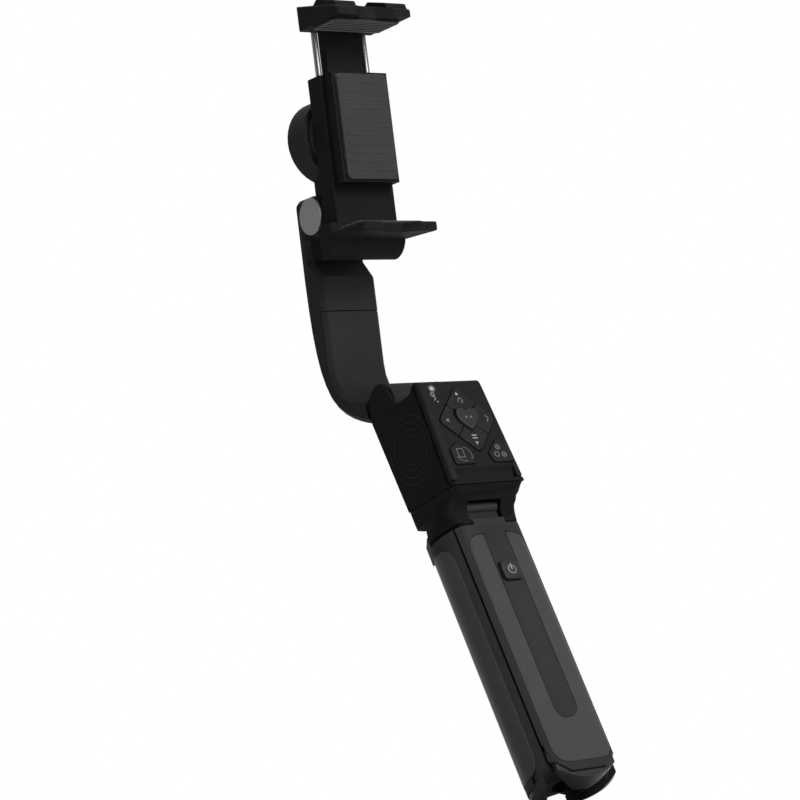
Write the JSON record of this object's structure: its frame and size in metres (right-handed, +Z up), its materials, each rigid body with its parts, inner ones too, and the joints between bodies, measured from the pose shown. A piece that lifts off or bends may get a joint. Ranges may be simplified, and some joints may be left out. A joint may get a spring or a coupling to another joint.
{
  "type": "phone gimbal stabilizer",
  "caption": "Handheld phone gimbal: a telescopic pole whose handle opens into tripod legs, a removable remote, a folding arm with a roll motor and a sprung phone clamp.",
  "frame": {"origin": "centre of the bounding box, at the height of the soles; the pole's axis stands 13.64 mm behind it", "axes": "+Z up along the pole, +Y to the back, away from the buttons, +X to the right seen from the buttons"},
  "size_m": [0.0336, 0.089, 0.2953],
  "materials": {
    "shell": "fine spark-eroded matt black",
    "rubber": "soft-touch dark grey",
    "key": "satin black with pale signs",
    "steel": "fine turned steel",
    "tube": "polished drawn tube",
    "board": "green solder mask",
    "copper": "enamelled copper wire",
    "cell": "wrapped cell",
    "led": "clear lens"
  },
  "bodies": {
    "root": {"neck_collar": "shell", "pole_tube_1": "tube", "front_leg_pin": "steel", "left_leg_pin": "steel", "right_leg_pin": "steel"},
    "front_leg": {"front_leg": "shell", "front_leg_pad": "rubber", "front_foot": "rubber"},
    "left_leg": {"left_leg": "shell", "left_leg_pad": "rubber", "left_foot": "rubber"},
    "right_leg": {"right_leg": "shell", "right_leg_pad": "rubber", "right_foot": "rubber"},
    "power_button": {"power_button": "key"},
    "pole_stage_2": {"pole_tube_2": "tube"},
    "pole_stage_3": {"pole_tube_3": "tube"},
    "pole_stage_4": {"pole_tube_4": "tube"},
    "head": {"pole_tube_5": "tube", "head_housing": "shell", "head_back_cover": "shell", "battery": "cell", "main_board": "board", "usb_port": "steel", "fold_pin": "steel"},
    "remote": {"remote_shell": "shell", "remote_back_cover": "shell", "remote_board": "board", "coin_cell": "steel", "key_mat": "rubber", "status_led": "led"},
    "up_key": {"up_key": "key"},
    "down_key": {"down_key": "key"},
    "left_key": {"left_key": "key"},
    "right_key": {"right_key": "key"},
    "centre_button": {"centre_button": "key"},
    "left_mode_button": {"left_mode_button": "key"},
    "right_mode_button": {"right_mode_button": "key"},
    "arm": {"arm_frame": "shell", "arm_lower_cover": "shell", "arm_upper_cover": "shell", "arm_cable": "copper", "tilt_pin": "steel", "tilt_cap_left": "steel", "tilt_cap_right": "steel"},
    "tilt_bracket": {"motor_housing": "shell", "motor_stator": "copper", "motor_bearing": "steel"},
    "clamp": {"motor_bell": "steel", "motor_shaft": "steel", "clamp_body": "shell", "clamp_pad": "rubber", "lower_jaw": "shell", "lower_jaw_pad": "rubber", "clamp_spring_left": "steel", "clamp_spring_right": "steel"},
    "upper_jaw": {"upper_jaw": "shell", "upper_jaw_pad": "rubber", "guide_rod_left": "steel", "guide_rod_right": "steel"}
  },
  "joints": [
    {"name": "front_leg_swing", "type": "hinge", "parent": "root", "child": "front_leg", "pos_m": [0, 0.00524, 0.1034], "axis": [-1, 0, 0], "range_deg": [0, 28]},
    {"name": "left_leg_swing", "type": "hinge", "parent": "root", "child": "left_leg", "pos_m": [-0.01005, 0.01944, 0.1034], "axis": [0.5, 0.866, 0], "range_deg": [0, 28]},
    {"name": "right_leg_swing", "type": "hinge", "parent": "root", "child": "right_leg", "pos_m": [0.01005, 0.01944, 0.1034], "axis": [0.5, -0.866, 0], "range_deg": [0, 28]},
    {"name": "power_press", "type": "slide", "parent": "front_leg", "child": "power_button", "axis": [0, 1, 0], "range_m": [0, 0.0006]},
    {"name": "pole_slide_2", "type": "slide", "parent": "root", "child": "pole_stage_2", "axis": [0, 0, 1], "range_m": [0, 0.08]},
    {"name": "pole_slide_3", "type": "slide", "parent": "pole_stage_2", "child": "pole_stage_3", "axis": [0, 0, 1], "range_m": [0, 0.08]},
    {"name": "pole_slide_4", "type": "slide", "parent": "pole_stage_3", "child": "pole_stage_4", "axis": [0, 0, 1], "range_m": [0, 0.08]},
    {"name": "head_lift", "type": "slide", "parent": "pole_stage_4", "child": "head", "axis": [0, 0, 1], "range_m": [0, 0.08]},
    {"name": "remote_release", "type": "slide", "parent": "head", "child": "remote", "axis": [0, -1, 0], "range_m": [0, 0.03]},
    {"name": "up_key_press", "type": "slide", "parent": "remote", "child": "up_key", "axis": [0, 1, 0], "range_m": [0, 0.0005]},
    {"name": "down_key_press", "type": "slide", "parent": "remote", "child": "down_key", "axis": [0, 1, 0], "range_m": [0, 0.0005]},
    {"name": "left_key_press", "type": "slide", "parent": "remote", "child": "left_key", "axis": [0, 1, 0], "range_m": [0, 0.0005]},
    {"name": "right_key_press", "type": "slide", "parent": "remote", "child": "right_key", "axis": [0, 1, 0], "range_m": [0, 0.0005]},
    {"name": "centre_button_press", "type": "slide", "parent": "remote", "child": "centre_button", "axis": [0, 1, 0], "range_m": [0, 0.0005]},
    {"name": "left_mode_button_press", "type": "slide", "parent": "remote", "child": "left_mode_button", "axis": [0, 1, 0], "range_m": [0, 0.0005]},
    {"name": "right_mode_button_press", "type": "slide", "parent": "remote", "child": "right_mode_button", "axis": [0, 1, 0], "range_m": [0, 0.0005]},
    {"name": "arm_fold", "type": "hinge", "parent": "head", "child": "arm", "pos_m": [0, 0.01794, 0.1542], "axis": [-1, 0, 0], "range_deg": [-120, 15]},
    {"name": "tilt", "type": "hinge", "parent": "arm", "child": "tilt_bracket", "pos_m": [0, 0.01502, 0.2314], "axis": [-1, 0, 0], "range_deg": [-15, 90]},
    {"name": "roll", "type": "hinge", "parent": "tilt_bracket", "child": "clamp", "pos_m": [0, -0.00199, 0.25445], "axis": [0, 0.9184, 0.3955], "range_deg": [-100, 100]},
    {"name": "clamp_open", "type": "slide", "parent": "clamp", "child": "upper_jaw", "axis": [0, -0.3955, 0.9184], "range_m": [-0.0135, 0.0175]}
  ],
  "couplings": [
    {"joint": "pole_slide_3", "follows": "pole_slide_2", "ratio": 1},
    {"joint": "pole_slide_4", "follows": "pole_slide_2", "ratio": 1},
    {"joint": "head_lift", "follows": "pole_slide_2", "ratio": 1}
  ]
}
